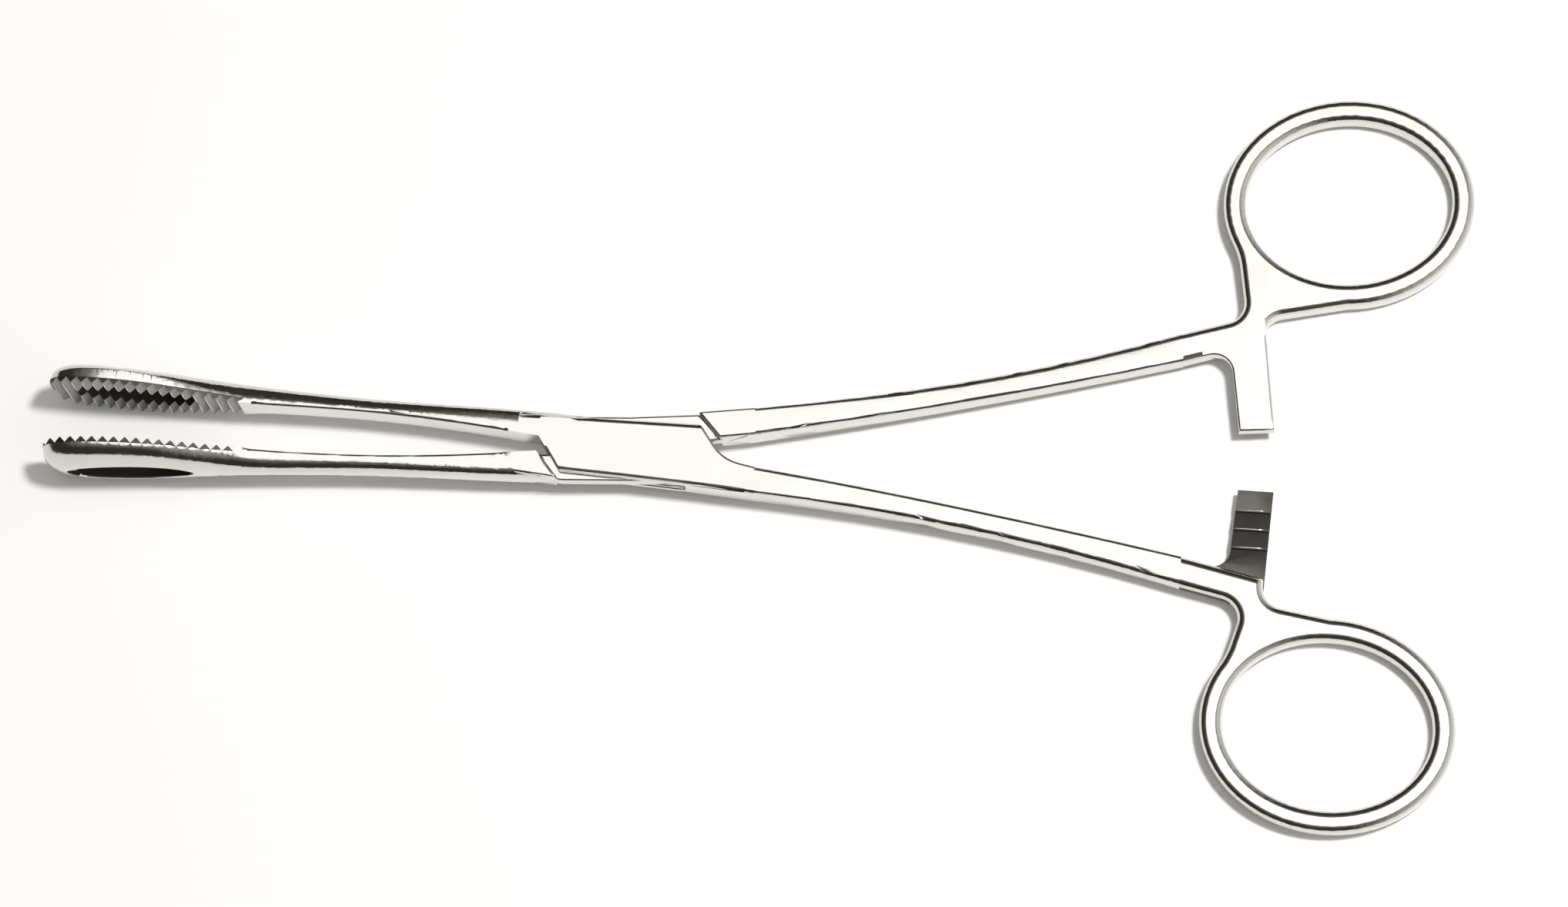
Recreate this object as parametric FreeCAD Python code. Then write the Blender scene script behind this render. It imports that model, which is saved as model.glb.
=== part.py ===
import FreeCAD, Part
import math
import os

from FreeCAD import Vector

# Straight fenestrated grasping forceps, millimetres, +Z up.
# Each half is drawn in the closed position about the pivot, jaws toward -X, handles toward +X,
# on its own side of the closing line, and is then turned open to the rest position.

# Rest position and travel
rest_opening = 5.9
handle_lean = 2.5

# Jaws: the reach is measured from the pivot, and the places along the jaw from its tip
jaw_reach = 70.5
jaw_thickness = 3.1
jaw_half_width = 6.4
nose_length = 9.0
jaw_spread_length = 19.5
neck_from_tip = 35.5
nose_width_power = 3.0
nose_height_power = 4.0
jaw_dome_power = 2.6
root_dome_power = 5.0
neck_half_width = 2.25
neck_thickness = 2.05
bow_depth = 0.65
slot_length = 15.2
slot_width = 5.4
slot_tip_wall = 2.8
tooth_pitch = 1.32
tooth_count = 17
tooth_depth = 0.65
tooth_crest = 0.15
tooth_skim = 0.02
tooth_row_margin = 1.13
tooth_half_step = 0.25
nose_bite = 0.15
heel_gap = 0.32

# Box lock
box_thickness = 4.8
box_half_width = 3.55
box_edge_radius = 0.5
box_edge_chamfer = 0.35
jaw_root_start = 3.0
jaw_root_taper = 0.6
jaw_root_sink = 0.3
jaw_root_rise = 5.0
jaw_root_step = 0.04
jaw_root_overlap = 2.5
handle_root_overlap = 1.0
tongue_thickness = 2.1
tongue_disc_radius = 7.6
tongue_jaw_side = 3.7
tongue_handle_side = 4.2
slot_side_gap = 0.05
slot_end_gap = 0.1
shoulder_gap = 0.45
shoulder_inner = 11.15
shoulder_outer = 8.15
crotch_radius = 5.0
shoulder_root_radius = 1.0
limb_gap = 0.35
pin_radius = 1.9
pin_running_gap = 0.04

# Handles
shank_start = 14.0
shank_end = 66.0
shank_start_offset = 2.77
shank_bow_offset = 4.85
shank_end_offset = 10.22
shank_waist = 2.7
shank_waist_at = 38.0
shank_start_width = 3.3
shank_end_width = 3.6
shank_taper_length = 40.0
handle_thickness = 3.4
handle_rounding = 0.9
handle_inner_rounding = 0.5
rounding_grows_over = 32.5

# Finger rings
ring_at = 85.4
ring_stagger = 1.15
ring_offset = 27.42
ring_tilt = 1.6
ring_hole_length = 24.6
ring_hole_width = 20.2
ring_band = 2.65
ring_rounding = 1.0
web_foot_sink = 0.27
root_radius = 2.5
ring_blend_radius = 9.0
throat_drop = 1.2
throat_radius = 2.5

# Ratchet
arm_at = 73.7
arm_width = 4.2
arm_tip_past_line = 0.35
arm_tip_skew = 0.6
arm_gap = 0.2
arm_root_radius = 2.2
arm_root_overlap = 2.0
arm_root_flare = 3.3
ratchet_pitch = 2.25
ratchet_count = 3
ratchet_depth = 0.5
ratchet_crest = 0.35
ratchet_first = 2.2

# How finely the curved shapes are drawn
SHANK_STATIONS = 9
JAW_STATIONS = 15
NOSE_STATIONS = 9
NOSE_CROWDING = 1.7
NOSE_LAST_TURN = 86.5
DOME_STEPS = 12
CUTTER_MARGIN = 1.0

HALF_BOX = box_thickness / 2
HALF_HANDLE = handle_thickness / 2
JAW_WIDEST_AT = jaw_reach - nose_length
JAW_SPREADS_FROM = JAW_WIDEST_AT - jaw_spread_length
NECK_AT = jaw_reach - neck_from_tip
TOOTH_ROW_END = jaw_reach - tooth_row_margin - tooth_count * tooth_pitch
X_AXIS = Vector(1, 0, 0)
Z_AXIS = Vector(0, 0, 1)
ORIGIN = Vector(0, 0, 0)


def ease(value):
    """Smooth step from 0 to 1."""
    t = min(1.0, max(0.0, value))
    return t * t * (3 - 2 * t)


def blend(low, high, share):
    return low + (high - low) * share


def polygon(points):
    """Closed face in the XY plane from (x, y) corners."""
    corners = [Vector(x, y, 0) for x, y in points]
    return Part.Face(Part.makePolygon(corners + corners[:1]))


def slab(face, bottom, top):
    """Flat face pulled up into a solid between two heights."""
    face = face.copy()
    face.translate(Vector(0, 0, bottom))
    return face.extrude(Vector(0, 0, top - bottom))


def fuse_all(shapes):
    result = shapes[0]
    for shape in shapes[1:]:
        result = result.fuse(shape)
    return result.removeSplitter()


def upright_edges(shape, tolerance=0.05):
    found = []
    for edge in shape.Edges:
        box = edge.BoundBox
        if box.XLength < tolerance and box.YLength < tolerance:
            found.append(edge)
    return found


def edges_at(shape, x, y, tolerance=0.05):
    """Upright edges that stand at one point of the plan."""
    found = []
    for edge in upright_edges(shape, tolerance):
        box = edge.BoundBox
        if abs(box.XMin - x) < tolerance and abs(box.YMin - y) < tolerance:
            found.append(edge)
    return found


def rounded(body, radius, edges):
    """Round edges over, by a little less where the full radius can't be built."""
    for share in (1.0, 0.95, 0.9, 0.8, 0.65, 0.5):
        try:
            result = body.makeFillet(radius * share, edges)
        except Part.OCCError:
            continue
        if result.isValid():
            return result
    return body


# Handle: shank, finger ring and ratchet arm, drawn on the +Y side of the handles' middle line


def shank_middle(x):
    """Middle line of the shank: a parabola that bows outward toward the ring."""
    u = (x - shank_start) / (shank_end - shank_start)
    start, bow, end = shank_start_offset, shank_bow_offset, shank_end_offset
    return (1 - u) ** 2 * start + 2 * u * (1 - u) * bow + u * u * end


def shank_width(x):
    """Narrowest at the waist, wider toward the box and toward the ring."""
    if x < shank_waist_at:
        share = (shank_waist_at - x) / (shank_waist_at - shank_start)
        return blend(shank_waist, shank_start_width, share ** 2)
    share = (x - shank_waist_at) / (shank_end - shank_waist_at)
    return blend(shank_waist, shank_end_width, share ** 2)


def shank_half_thickness(x):
    share = ease((x - shank_start) / shank_taper_length)
    return blend(HALF_BOX, HALF_HANDLE, share)


def rounded_section(x, inner, outer, half_z, inner_radius, outer_radius):
    """Rectangle across the shank with rounded corners, as eight edges."""
    corners = [
        (inner, -half_z, inner_radius, 1, 1),
        (outer, -half_z, outer_radius, -1, 1),
        (outer, half_z, outer_radius, -1, -1),
        (inner, half_z, inner_radius, 1, -1),
    ]
    rounds = []
    for number, (y, z, radius, toward_y, toward_z) in enumerate(corners):
        across = Vector(x, y + toward_y * radius, z)
        upright = Vector(x, y, z + toward_z * radius)
        short = radius * (1 - math.sqrt(0.5))
        middle = Vector(x, y + toward_y * short, z + toward_z * short)
        ends = (upright, middle, across) if number % 2 == 0 else (across, middle, upright)
        rounds.append(ends)
    edges = []
    for number, ends in enumerate(rounds):
        following = rounds[(number + 1) % len(rounds)]
        edges.append(Part.Arc(*ends).toShape())
        edges.append(Part.LineSegment(ends[2], following[0]).toShape())
    return Part.Wire(edges)


def shank():
    sections = []
    for number in range(SHANK_STATIONS):
        share = number / (SHANK_STATIONS - 1)
        x = blend(shank_start, shank_end, share)
        middle = shank_middle(x)
        half = shank_width(x) / 2
        grown = ease((x - shank_start) / rounding_grows_over)
        inner_radius = blend(box_edge_radius, handle_inner_rounding, grown)
        outer_radius = blend(box_edge_radius, handle_rounding, grown)
        sections.append(
            rounded_section(
                x, middle - half, middle + half, shank_half_thickness(x), inner_radius, outer_radius
            )
        )
    return Part.makeLoft(sections, True, False)


def ellipse_face(ring_x, half_length, half_width):
    """Ellipse about the ring's centre, tilted as the ring is."""
    long_way = Vector(math.cos(math.radians(ring_tilt)), math.sin(math.radians(ring_tilt)), 0)
    centre = Vector(ring_x, ring_offset, 0)
    across = Z_AXIS.cross(long_way)
    curve = Part.Ellipse(centre + long_way * half_length, centre + across * half_width, centre)
    return Part.Face(Part.Wire(curve.toShape()))


def shank_end_slope():
    return (shank_end_offset - shank_bow_offset) * 2 / (shank_end - shank_start)


def shank_line(x, side):
    """Inner (side -1) or outer (side 1) edge of the shank, carried on past its end."""
    return shank_end_offset + side * shank_end_width / 2 + shank_end_slope() * (x - shank_end)


def root_web(ring_x):
    """Flat web between the shank's end and the ring, with its two inside corners."""
    arm_left = arm_at - arm_width / 2
    arm_right = arm_at + arm_width / 2
    ring_foot = ring_offset - ring_hole_width / 2 - ring_band
    ring_left = ring_x - ring_hole_length / 2 - ring_band
    corner = (arm_at, shank_line(arm_at, 1))
    throat = (arm_right, ring_foot - throat_drop)
    web = polygon(
        [
            (shank_end, shank_line(shank_end, -1)),
            (arm_left, shank_line(arm_left, -1)),
            (arm_right, shank_line(arm_right, -1)),
            throat,
            (ring_x + ring_band / 2, ring_foot + web_foot_sink),
            (ring_x, ring_foot + ring_band),
            (ring_left + ring_band, ring_offset - ring_band),
            (ring_left + ring_band / 2, ring_offset - ring_band),
            corner,
            (shank_end, shank_line(shank_end, 1)),
        ]
    )
    return web, corner, throat


def ring_and_root(ring_x):
    """Finger ring with the web that joins it to the shank, edges rounded over."""
    web, corner, throat = root_web(ring_x)
    outer = ellipse_face(
        ring_x, ring_hole_length / 2 + ring_band, ring_hole_width / 2 + ring_band
    )
    body = slab(outer.fuse(web).removeSplitter(), -HALF_HANDLE, HALF_HANDLE)
    body = body.removeSplitter()
    hollows = [
        edge
        for edge in upright_edges(body)
        if edge.BoundBox.XMin < ring_x - ring_hole_length / 4
        and edge.BoundBox.YMin > corner[1] + root_radius
    ]
    body = rounded(body, ring_blend_radius, hollows)
    body = rounded(body, root_radius, edges_at(body, *corner))
    body = rounded(body, throat_radius, edges_at(body, *throat))
    hole = ellipse_face(ring_x, ring_hole_length / 2, ring_hole_width / 2)
    body = body.cut(slab(hole, -HALF_HANDLE, HALF_HANDLE))
    rims = []
    for edge in body.Edges:
        box = edge.BoundBox
        level = abs(abs(box.ZMin) - HALF_HANDLE) < 0.01 and box.ZLength < 0.01
        joint_face = box.XMax < shank_end + 0.01
        if level and not joint_face:
            rims.append(edge)
    return rounded(body, ring_rounding, rims)


def ratchet_arm():
    """Arm with sawteeth on its lower face, which run over the other half's arm."""
    left = arm_at - arm_width / 2
    right = arm_at + arm_width / 2
    slope = shank_end_slope()
    edge_at_left = shank_line(left, -1)
    foot = ring_offset - ring_hole_width / 2 - ring_band
    tip = -arm_tip_past_line
    outline = [
        (left + arm_tip_skew, tip),
        (right + arm_tip_skew, tip),
        (right, foot),
        (left, edge_at_left + arm_root_overlap),
        (left - arm_root_flare, edge_at_left + arm_root_overlap - slope * arm_root_flare),
        (left - arm_root_flare, edge_at_left - slope * arm_root_flare),
        (left, edge_at_left),
    ]
    body = slab(polygon(outline), arm_gap / 2, HALF_HANDLE)
    body = rounded(body, arm_root_radius, edges_at(body, left, edge_at_left))
    for number in range(ratchet_count):
        body = body.cut(ratchet_notch(number, left, right))
    return body


def ratchet_notch(number, left, right):
    """Space in front of one sawtooth: a ramp that ends at the tooth's upright face."""
    face_y = ratchet_first + number * ratchet_pitch
    low = arm_gap / 2
    profile = [
        (face_y, low - CUTTER_MARGIN),
        (face_y, low + ratchet_depth),
        (face_y + ratchet_pitch - ratchet_crest, low),
        (face_y + ratchet_pitch - ratchet_crest, low - CUTTER_MARGIN),
    ]
    corners = [Vector(left - CUTTER_MARGIN, y, z) for y, z in profile]
    face = Part.Face(Part.makePolygon(corners + corners[:1]))
    return face.extrude(Vector(right - left + arm_tip_skew + 2 * CUTTER_MARGIN, 0, 0))


def handle(ring_x):
    """Shank, ring and arm, turned by the handles' lean about the pivot."""
    body = fuse_all([shank(), ring_and_root(ring_x), ratchet_arm()])
    body.rotate(ORIGIN, Z_AXIS, handle_lean)
    return body


# Jaw: drawn on the +Y side of the closing line


def tooth_face(x):
    """Line of the tooth crests: past the closing line at the nose, short of it at the heel."""
    share = (x + jaw_reach) / (jaw_reach - TOOTH_ROW_END)
    return blend(-nose_bite, heel_gap, share)


def jaw_inner(x):
    """Inner edge: along the tooth crests, then bowed away from the closing line."""
    if x <= -TOOTH_ROW_END:
        return tooth_face(x)
    share = (x + TOOTH_ROW_END) / (TOOTH_ROW_END - shoulder_inner)
    bow = math.sin(math.pi * min(1.0, share)) * bow_depth
    return blend(heel_gap, limb_gap, share) + bow


def jaw_outer(x):
    """Outer edge along the middle plane: box, slimmer neck, then the toothed end."""
    neck = jaw_inner(-NECK_AT) + neck_thickness
    if x > -NECK_AT:
        return blend(box_half_width, neck, ease((x + shoulder_outer) / (shoulder_outer - NECK_AT)))
    return blend(neck, jaw_thickness, ease((x + NECK_AT) / (NECK_AT - JAW_WIDEST_AT)))


def jaw_half_z(x):
    if x > -NECK_AT:
        share = ease((x + shoulder_inner) / (shoulder_inner - NECK_AT))
        return blend(HALF_BOX - jaw_root_step, neck_half_width, share)
    share = ease((x + JAW_SPREADS_FROM) / (JAW_SPREADS_FROM - JAW_WIDEST_AT))
    return blend(neck_half_width, jaw_half_width, share)


def jaw_roundness(x):
    """Power of the outer curve: nearly square at the box, domed along the jaw."""
    share = ease((x + jaw_root_start) / (jaw_root_start - NECK_AT))
    return blend(root_dome_power, jaw_dome_power, share)


def root_sink(x):
    """How far the jaw's root is drawn in, so that it rises out of the box's sides."""
    return jaw_root_sink * (1 - ease((-jaw_root_start - x) / jaw_root_rise))


def nose_profile(along, power):
    """Share of the full size left at one place along the nose."""
    return (1 - along ** power) ** (1 / power)


def jaw_section(x, inner, outer, half_z, power):
    """Flat gripping side and a domed outer side, as two edges."""
    points = []
    for number in range(DOME_STEPS + 1):
        angle = math.pi * number / DOME_STEPS - math.pi / 2
        z = math.copysign(abs(math.sin(angle)) ** (2 / power), math.sin(angle)) * half_z
        y = max(0.0, math.cos(angle)) ** (2 / power) * (outer - inner)
        points.append(Vector(x, inner + y, z))
    curve = Part.BSplineCurve()
    curve.interpolate(points, InitialTangent=Vector(0, 1, 0), FinalTangent=Vector(0, -1, 0))
    return Part.Wire([Part.LineSegment(points[-1], points[0]).toShape(), curve.toShape()])


def jaw(tooth_shift):
    sections = []
    for number in range(JAW_STATIONS):
        x = blend(-jaw_root_start, -JAW_WIDEST_AT, number / (JAW_STATIONS - 1))
        sink = root_sink(x)
        inner, outer = jaw_inner(x) + sink, jaw_outer(x) - sink
        sections.append(jaw_section(x, inner, outer, jaw_half_z(x) - sink, jaw_roundness(x)))
    for number in range(NOSE_STATIONS):
        left_to_go = 1 - (number + 1) / NOSE_STATIONS
        turn = NOSE_LAST_TURN * (1 - left_to_go ** NOSE_CROWDING)
        along = math.sin(math.radians(turn))
        x = -JAW_WIDEST_AT - nose_length * along
        inner = jaw_inner(x)
        height = (jaw_thickness - inner) * nose_profile(along, nose_height_power)
        half_z = jaw_half_width * nose_profile(along, nose_width_power)
        sections.append(jaw_section(x, inner, inner + height, half_z, jaw_roundness(x)))
    body = Part.makeLoft(sections, True, False)
    return body.cut(jaw_slot()).cut(tooth_comb(tooth_shift))


def jaw_slot():
    """Long oval opening through the jaw."""
    half_length = slot_length / 2
    deep = -jaw_thickness * 2
    centre = Vector(-jaw_reach + slot_tip_wall + half_length, deep, 0)
    curve = Part.Ellipse(
        centre + X_AXIS * half_length, centre + Z_AXIS * (slot_width / 2), centre
    )
    face = Part.Face(Part.Wire(curve.toShape()))
    return face.extrude(Vector(0, -2 * deep, 0))


def tooth_comb(tooth_shift):
    """All that lies in front of the teeth: a row of V grooves across the gripping side."""
    half = (tooth_pitch - tooth_crest) / 2
    outline = []
    for number in range(tooth_count + 1):
        middle = -TOOTH_ROW_END - (number + 0.5 + tooth_shift) * tooth_pitch
        for x, depth in (
            (middle + half, tooth_skim),
            (middle, tooth_depth),
            (middle - half, tooth_skim),
        ):
            outline.append((x, tooth_face(x) + depth))
    outline.append((outline[-1][0], -jaw_thickness))
    outline.append((outline[0][0], -jaw_thickness))
    return slab(polygon(outline), -2 * jaw_half_width, 2 * jaw_half_width)


# Box lock


def lean(x, y):
    """Point given along the handles' middle line, in the closing line's axes."""
    turn = math.radians(handle_lean)
    return (x * math.cos(turn) - y * math.sin(turn), x * math.sin(turn) + y * math.cos(turn))


def arc_through(first, middle, last):
    points = [Vector(x, y, 0) for x, y in (first, middle, last)]
    return Part.Arc(*points).toShape()


def line_to(first, last):
    return Part.LineSegment(Vector(*first, 0), Vector(*last, 0)).toShape()


def handle_root_edges(x):
    middle = shank_middle(x)
    half = shank_width(x) / 2
    return middle - half, middle + half


def box_body():
    """Full-thickness block of the box half: jaw root, two plates and handle root."""
    jaw_x = -shoulder_inner - jaw_root_overlap
    shank_x = shank_start + handle_root_overlap
    inner, outer = handle_root_edges(shank_x)
    jaw_top = (jaw_x, jaw_outer(jaw_x) - jaw_root_taper)
    jaw_low = (jaw_x, jaw_inner(jaw_x) + jaw_root_step)
    left_inner = (-shoulder_inner, jaw_inner(jaw_x) + jaw_root_step)
    left_outer = (-shoulder_outer, -box_half_width)
    right_outer = lean(shoulder_outer, box_half_width)
    right_inner = lean(shoulder_inner, -jaw_inner(jaw_x))
    root_inner = lean(shank_x, -inner)
    root_outer = lean(shank_x, -outer)
    edges = [
        arc_through(jaw_top, (0, box_half_width), right_outer),
        line_to(right_outer, right_inner),
        line_to(right_inner, root_inner),
        line_to(root_inner, root_outer),
        arc_through(root_outer, (0, -box_half_width), left_outer),
        line_to(left_outer, left_inner),
        line_to(left_inner, jaw_low),
        line_to(jaw_low, jaw_top),
    ]
    body = slab(Part.Face(Part.Wire(edges)), -HALF_BOX, HALF_BOX)
    body = rounded(body, crotch_radius, edges_at(body, *right_inner))
    body = rounded(body, shoulder_root_radius, edges_at(body, *left_inner))
    long_edges = []
    for edge in body.Edges:
        box = edge.BoundBox
        level = box.ZLength < 0.01
        if level and box.XLength > shoulder_inner * 1.5:
            long_edges.append(edge)
    return body.makeChamfer(box_edge_chamfer, long_edges)


def passage():
    """Slot through the box half that the tongue turns in, open at both sides."""
    half = tongue_thickness / 2 + slot_side_gap
    reach = shank_start + shank_taper_length
    disc = Part.makeCylinder(tongue_disc_radius + slot_end_gap, 2 * half, Vector(0, 0, -half))
    left = [(0, 0), (0, -reach), (-reach, -reach), (-reach, 0)]
    right = [(0, 0), lean(reach, 0), lean(reach, reach), (0, reach)]
    return fuse_all([disc, slab(polygon(left), -half, half), slab(polygon(right), -half, half)])


def tongue_limbs():
    """Plan of the tongue half beside the pivot: toward its jaw and toward its handle."""
    jaw_x = -shoulder_inner - jaw_root_overlap
    shank_x = shank_start + handle_root_overlap
    inner, outer = handle_root_edges(shank_x)
    jaw_side = polygon(
        [
            (jaw_x, -jaw_inner(jaw_x) - jaw_root_step),
            (0, -limb_gap),
            (0, -tongue_jaw_side),
            (-shoulder_outer, -tongue_jaw_side),
            (jaw_x, jaw_root_taper - jaw_outer(jaw_x)),
        ]
    )
    handle_side = polygon(
        [
            lean(0, limb_gap),
            lean(shank_x, inner),
            lean(shank_x, outer),
            lean(shoulder_outer, tongue_handle_side),
            lean(0, tongue_handle_side),
        ]
    )
    return [jaw_side, handle_side]


def tongue_body(jaw_side):
    """Tongue half's block: thin disc and limbs, and the shoulders at full thickness."""
    half = tongue_thickness / 2
    disc = Part.makeCylinder(tongue_disc_radius, 2 * half, Vector(0, 0, -half))
    width = tongue_jaw_side + tongue_handle_side
    corner = Vector(-tongue_disc_radius, -tongue_jaw_side, -half)
    strip = Part.makeBox(2 * tongue_disc_radius, width, 2 * half, corner)
    full = [jaw_side]
    pieces = [disc.common(strip)]
    for limb in tongue_limbs():
        pieces.append(slab(limb, -half, half))
        full.append(slab(limb, -HALF_BOX, HALF_BOX))
    return fuse_all(pieces + [fuse_all(full).cut(shoulder_clearance())])


def shoulder_clearance():
    """Space between the shoulders that the plates turn in."""
    along = Vector(shoulder_inner - shoulder_outer, -box_half_width - limb_gap, 0)
    normal = Vector(-along.y, along.x, 0)
    normal.normalize()
    shift = normal * shoulder_gap
    reach = box_half_width * 4
    upper = Vector(shoulder_outer, box_half_width, 0) + shift
    lower = Vector(shoulder_inner, -limb_gap, 0) + shift
    direction = lower - upper
    direction.normalize()
    right_top = upper - direction * reach
    right_low = lower + direction * reach
    corners = [
        lean(right_top.x, right_top.y),
        lean(right_low.x, right_low.y),
        (-right_top.x, -right_top.y),
        (-right_low.x, -right_low.y),
    ]
    return slab(polygon(corners), -box_thickness, box_thickness)


def pin_hole(radius):
    return Part.makeCylinder(radius, box_thickness * 2, Vector(0, 0, -box_thickness))


def flipped(shape):
    """The other half's copy: turned half a turn about the closing line."""
    turned = shape.copy()
    turned.rotate(ORIGIN, X_AXIS, 180)
    return turned


def box_half():
    handle_side = handle(ring_at - ring_stagger)
    handle_side.rotate(ORIGIN, Z_AXIS, -2 * handle_lean)
    core = fuse_all([jaw(tooth_half_step), box_body()]).cut(passage())
    body = fuse_all([core, flipped(handle_side)])
    return body.cut(pin_hole(pin_radius))


def tongue_half():
    body = fuse_all([tongue_body(flipped(jaw(-tooth_half_step))), handle(ring_at + ring_stagger)])
    return body.cut(pin_hole(pin_radius + pin_running_gap))


def pivot_pin():
    return Part.makeCylinder(pin_radius, box_thickness, Vector(0, 0, -HALF_BOX))


def place(shape, turn):
    """Open the half and set the origin on the box's upper face at the pivot."""
    shape.rotate(ORIGIN, Z_AXIS, turn)
    shape.translate(Vector(0, 0, -HALF_BOX))
    return shape


def main():
    os.makedirs("parts", exist_ok=True)
    parts = {
        "box_half": place(box_half(), -rest_opening / 2),
        "tongue_half": place(tongue_half(), rest_opening / 2),
        "pivot_pin": place(pivot_pin(), -rest_opening / 2),
    }
    for name, shape in parts.items():
        solids = shape.Solids
        box = shape.BoundBox
        print(name, shape.isValid(), len(solids), round(shape.Volume, 1), box)
        if len(solids) == 1:
            shape = solids[0]
        shape.exportStep("parts/" + name + ".step")


main()
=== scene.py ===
"""A ring-handled grasping forceps, lying open on a pale table under soft studio light."""

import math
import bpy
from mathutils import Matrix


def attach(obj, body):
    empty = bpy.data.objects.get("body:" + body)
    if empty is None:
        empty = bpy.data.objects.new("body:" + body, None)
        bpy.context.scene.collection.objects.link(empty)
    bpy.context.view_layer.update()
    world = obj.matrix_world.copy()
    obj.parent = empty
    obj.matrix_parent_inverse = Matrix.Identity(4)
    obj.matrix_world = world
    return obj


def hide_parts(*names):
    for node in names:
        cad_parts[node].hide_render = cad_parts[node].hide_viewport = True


bl_info = {
    "name": "Grasping Forceps",
    "version": (1, 0, 0),
    "blender": (4, 5, 0),
    "location": "View3D > Sidebar > Forceps",
    "description": "Dresses a box-lock grasping forceps in polished steel on a pale table",
    "category": "Object",
}

import bmesh
import bpy
from mathutils import Matrix, Vector
from mathutils.bvhtree import BVHTree
from mathutils.kdtree import KDTree

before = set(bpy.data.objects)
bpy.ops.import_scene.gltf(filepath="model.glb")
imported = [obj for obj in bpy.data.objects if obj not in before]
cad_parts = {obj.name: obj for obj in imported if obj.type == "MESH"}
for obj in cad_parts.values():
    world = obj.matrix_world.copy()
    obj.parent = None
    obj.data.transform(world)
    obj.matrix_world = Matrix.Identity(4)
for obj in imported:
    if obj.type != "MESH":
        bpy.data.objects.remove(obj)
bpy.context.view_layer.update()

MM = 0.001
BOX_BODY = "box_half"
TONGUE_BODY = "tongue_half"

# Both halves as drawn closed: the layer between them, and the turn that opens each to rest
MID_PLANE = -2.4 * MM
REST_TURN = math.radians(2.95)
HANDLE_LEAN = math.radians(2.5)

# Jaws, measured from the pivot: nose, slot, tooth row and the line of the tooth crests
JAW_TIP = -70.5 * MM
NOSE_START = -66.0 * MM
JAW_HALF_WIDTH = 6.4 * MM
SLOT_MIDDLE = -60.1 * MM
SLOT_HALF_LENGTH = 7.6 * MM
SLOT_HALF_WIDTH = 2.7 * MM
TOOTH_ROW_START = -46.93 * MM
TOOTH_ROW_MARGIN = 1.0 * MM
TOOTH_ROW_REACH = 4.6 * MM
TOOTH_DEPTH = 0.65 * MM
NOSE_CREST = -0.13 * MM
CREST_RISE = 0.47 * MM

# Ratchet arms and the pin's rim, measured from the pivot
ARM_MIDDLE = 73.8 * MM
ARM_WIDTH = 4.2 * MM
ARM_HALF_THICKNESS = 0.75 * MM
ARM_HALF_SPAN = 6.0 * MM
ARM_REACH = 14.0 * MM
ARM_CREST_LEVEL = 0.1 * MM
ARM_FIRST_CREST = 2.05 * MM
PIN_RIM = 2.2 * MM

# Burnished lines: distance from the tooth's ends, depth at which the tooth's length is measured,
# and the share of a pitch by which each jaw's teeth are set off
CREST_MARGIN = 0.3 * MM
CREST_DEPTH = 0.15 * MM
JAW_STAGGER = 0.25
BAR_SEGMENTS = 8
BAR_RINGS = 7

# Merging and rounding of the long edges. SEAMS are the places along X where a limb's drawn
# stretches meet, and an edge across the limb there runs along X by less than SEAM_SLANT. Where a
# rounded edge leaves the forged surface by STRAY_GAP, all edges within CRISP_REACH of its ends
# stay crisp in the next try.
SEAMS = [(-14.4 * MM, -12.9 * MM), (13.3 * MM, 15.9 * MM), (64.8 * MM, 67.2 * MM)]
SEAM_SLANT = 0.5
MERGE_GAP = 0.001 * MM
SEAM_GAP = 0.02 * MM
SURFACE_PLAY = 0.002 * MM
FLAT_ANGLE = math.radians(0.04)
STRAY_GAP = 0.17 * MM
CRISP_REACH = 0.7 * MM
EDGE_STEP = 1.2 * MM
CHECKED_PARTS = (0.25, 0.5, 0.75)
ROUNDING_TRIES = 5
ROUNDING_STEPS = 3

# Satin finish of a half's teeth, and painted shade (dark steel) on the teeth's ends, the slot's
# walls and the ratchet's faces: their material slots, and how the faces that get them are told,
# by their tilt in the jaw's frame and by the squared reach from the middle of the slot's oval
GRIPPING, PAINTED_SHADE = 1, 2
TOOTH_END_TILT = 0.35
SLOT_WALL_TILT = 0.4
SLOT_REACH = 1.15

# Finish of the steels: scales in features per metre, lows and highs of roughness, and the depth
# and scale of each steel's grain
PATCHES = {"scale": 260.0, "stretch": 1.0, "detail": 3.0}
MARKS = {"scale": 90.0, "stretch": 1.0, "detail": 4.0}
MARK_RANGE = (0.5, 0.8)
HANDLED_SHADE = 0.96
GRAIN_STRETCH = 6.0
GRAIN_DETAIL = 2.0
GRAIN_STRENGTH = 0.6
POLISH_GRAIN = (0.010 * MM, 4200.0)
SATIN_GRAIN = (0.008 * MM, 6000.0)
# Grain of the steel painted dark as shade
PAINTED_SHADE_GRAIN = (0.012 * MM, 5000.0)
SATIN_ROUGHNESS = (0.26, 0.4)
# Roughness of the steel painted dark as shade
PAINTED_SHADE_ROUGHNESS = (0.48, 0.6)

# Table, which touches the jaws' lower rims and the finger rings
JAW_FOOT = Vector((-66.0, 0.0, -8.92)) * MM
RING_FOOT = Vector((97.0, 0.0, -4.1)) * MM
TABLE_HALF_LENGTH = 3.0
TABLE_GAP = 0.05 * MM
TABLE_ROUGHNESS = 0.7
TABLE_SPECULAR = 0.2
WHITE_STRENGTH = 1.1

# Room by the height of the direction seen, and the window beyond the rings by its reach along X
ROOM_STOPS = [
    (0.0, (0.08, 0.07, 0.055)),
    (0.12, (0.025, 0.022, 0.018)),
    (0.60, (0.03, 0.027, 0.023)),
    (0.88, (0.12, 0.115, 0.105)),
    (0.95, (1.0, 1.0, 1.0)),
]
WINDOW_RANGE = (0.25, 0.85)
WINDOW_SHARE = 0.6
WINDOW_COLOR = (0.85, 0.84, 0.82, 1.0)

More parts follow.
